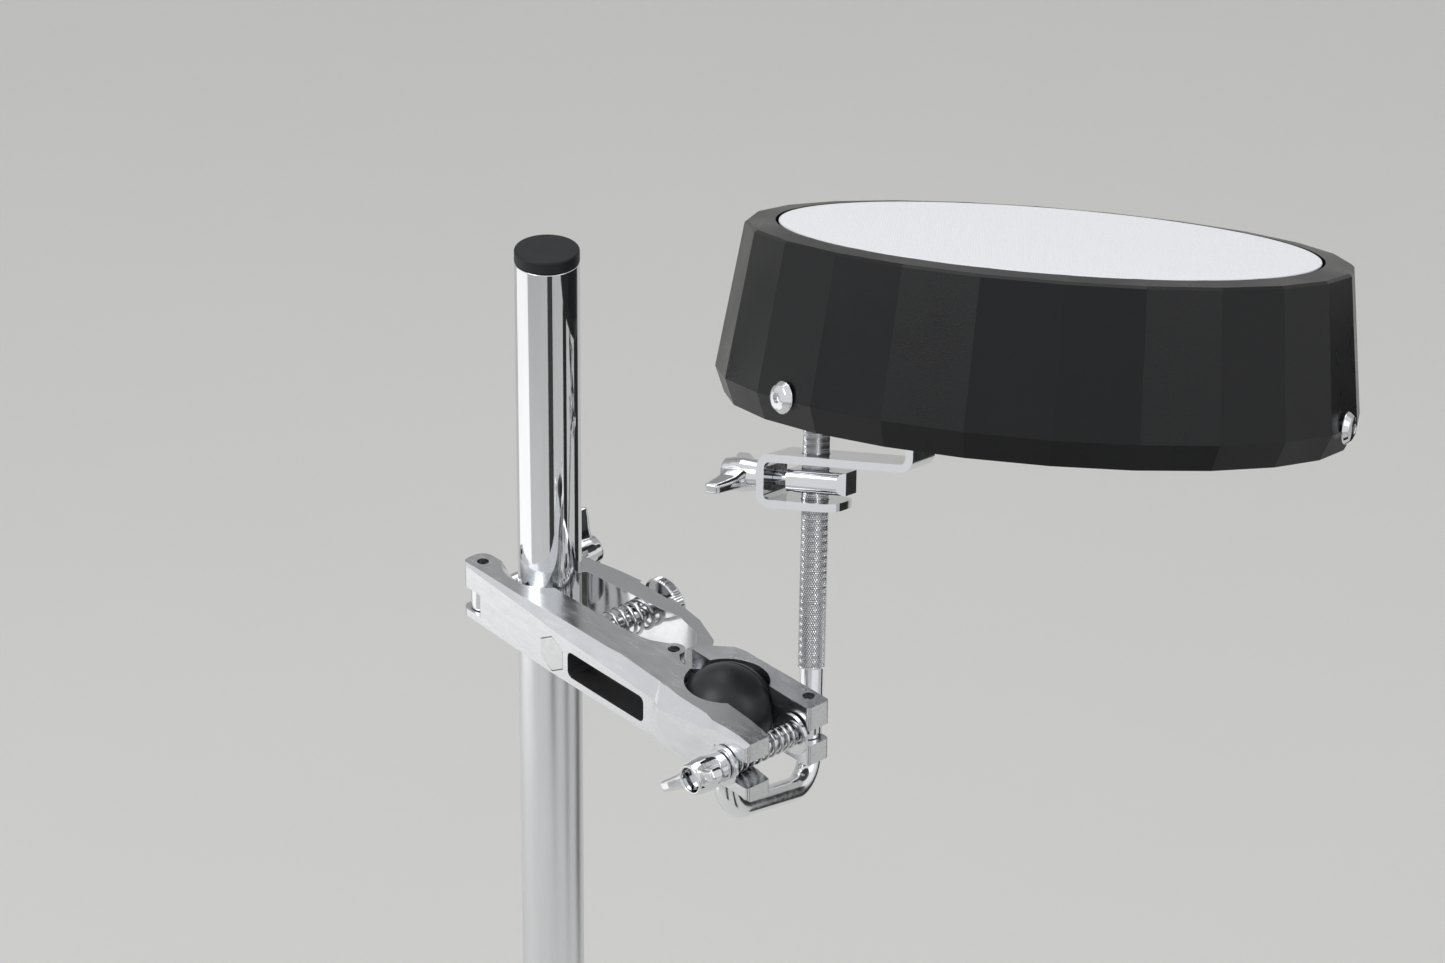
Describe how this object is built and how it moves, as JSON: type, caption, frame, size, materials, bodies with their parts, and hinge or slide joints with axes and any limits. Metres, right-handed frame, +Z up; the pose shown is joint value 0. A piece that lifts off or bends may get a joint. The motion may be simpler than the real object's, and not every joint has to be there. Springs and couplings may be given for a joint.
{
  "type": "drum practice pad",
  "caption": "Round faceted practice pad on a bent rod, held by a hinged ball clamp with a hinged jaw on an upright stand tube.",
  "frame": {"origin": "centre of the stand tube's lower end", "axes": "+Z up the tube, +X along the clamp from the tube to the ball, +Y to the rear, where the pad hangs over"},
  "size_m": [0.2994, 0.2989, 0.4032],
  "materials": {
    "tube_chrome": "mirror chrome above the clamp, satin below",
    "cast_metal": "polished casting",
    "chrome": "bright",
    "spring_steel": "bright",
    "cap_plastic": "fine texture",
    "ball_plastic": "satin",
    "shell_plastic": "satin with moulded texture",
    "sheet_fabric": "fine coated weave",
    "rubber": "matte",
    "foam": "matte foam",
    "board": "black painted board"
  },
  "bodies": {
    "root": {"stand_tube": "tube_chrome", "tube_cap": "cap_plastic", "clamp_body": "cast_metal", "hinge_pin": "spring_steel", "tube_bolt_pin": "spring_steel", "adjuster_bolt": "cast_metal", "jaw_spring": "spring_steel", "front_washer": "chrome"},
    "tube_jaw": {"tube_jaw": "cast_metal"},
    "knurled_nut": {"knurled_nut": "chrome"},
    "tube_swing_bolt": {"tube_swing_bolt": "chrome", "tube_washer": "chrome"},
    "tube_wing_nut": {"tube_wing_nut": "chrome"},
    "ball_jaw": {"ball_jaw": "cast_metal", "jaw_pin": "spring_steel"},
    "ball_swing_bolt": {"ball_swing_bolt": "chrome", "ball_spring": "spring_steel", "spring_washer": "chrome"},
    "ball_wing_nut": {"ball_wing_nut": "chrome"},
    "ball": {"ball": "ball_plastic"},
    "bent_rod": {"bent_rod": "chrome"},
    "bracket": {"bracket": "chrome", "eye_bolt": "chrome", "bracket_washer": "chrome", "pad_shell": "shell_plastic", "playing_sheet": "sheet_fabric", "rubber_pad": "rubber", "foam_core": "foam", "base_board": "board", "shell_screw_1": "chrome", "shell_screw_2": "chrome", "shell_screw_3": "chrome", "bracket_screw_1": "chrome", "bracket_screw_2": "chrome"},
    "bracket_wing_nut": {"bracket_wing_nut": "chrome"}
  },
  "joints": [
    {"name": "tube_jaw_opening", "type": "hinge", "parent": "root", "child": "tube_jaw", "pos_m": [0.0821, -0.0061, 0.2], "axis": [0, 0, -1], "range_deg": [0, 2.25]},
    {"name": "knurled_nut_spin", "type": "hinge", "parent": "root", "child": "knurled_nut", "pos_m": [0.0347, 0.0278, 0.2], "axis": [0, 1, 0], "continuous": true},
    {"name": "tube_bolt_swing", "type": "hinge", "parent": "root", "child": "tube_swing_bolt", "pos_m": [-0.0187, -0.0189, 0.1995], "axis": [0, 0, 1], "range_deg": [0, 90]},
    {"name": "tube_wing_nut_spin", "type": "hinge", "parent": "tube_swing_bolt", "child": "tube_wing_nut", "pos_m": [-0.0187, 0.0211, 0.1995], "axis": [0, 1, 0], "continuous": true},
    {"name": "ball_jaw_opening", "type": "hinge", "parent": "root", "child": "ball_jaw", "pos_m": [0.0821, -0.0061, 0.2015], "axis": [0, 0, 1], "range_deg": [0, 5]},
    {"name": "ball_bolt_swing", "type": "hinge", "parent": "ball_jaw", "child": "ball_swing_bolt", "pos_m": [0.1418, 0.01, 0.2015], "axis": [0, 0, 1], "range_deg": [-3.15, 0]},
    {"name": "ball_wing_nut_spin", "type": "hinge", "parent": "root", "child": "ball_wing_nut", "pos_m": [0.1418, -0.0341, 0.2015], "axis": [0, 1, 0], "continuous": true},
    {"name": "ball_tilt", "type": "hinge", "parent": "root", "child": "ball", "pos_m": [0.1133, -0.0062, 0.202], "axis": [-0.6884, -0.7254, 0], "range_deg": [-12, 15]},
    {"name": "rod_spin", "type": "hinge", "parent": "ball", "child": "bent_rod", "pos_m": [0.1133, -0.0062, 0.202], "axis": [-0.254, 0.2411, 0.9367], "range_deg": [-20, 30]},
    {"name": "bracket_swing", "type": "hinge", "parent": "bent_rod", "child": "bracket", "pos_m": [0.10872, 0.04132, 0.14657], "axis": [-0.254, 0.2411, 0.9367], "range_deg": [-30, 60]},
    {"name": "bracket_wing_nut_spin", "type": "hinge", "parent": "bracket", "child": "bracket_wing_nut", "pos_m": [0.05971, 0.06151, 0.25748], "axis": [0.8888, 0.4401, 0.1278], "continuous": true}
  ],
  "couplings": [
    {"joint": "tube_bolt_swing", "follows": "tube_jaw_opening", "ratio": 40},
    {"joint": "ball_bolt_swing", "follows": "ball_jaw_opening", "ratio": -0.63}
  ]
}
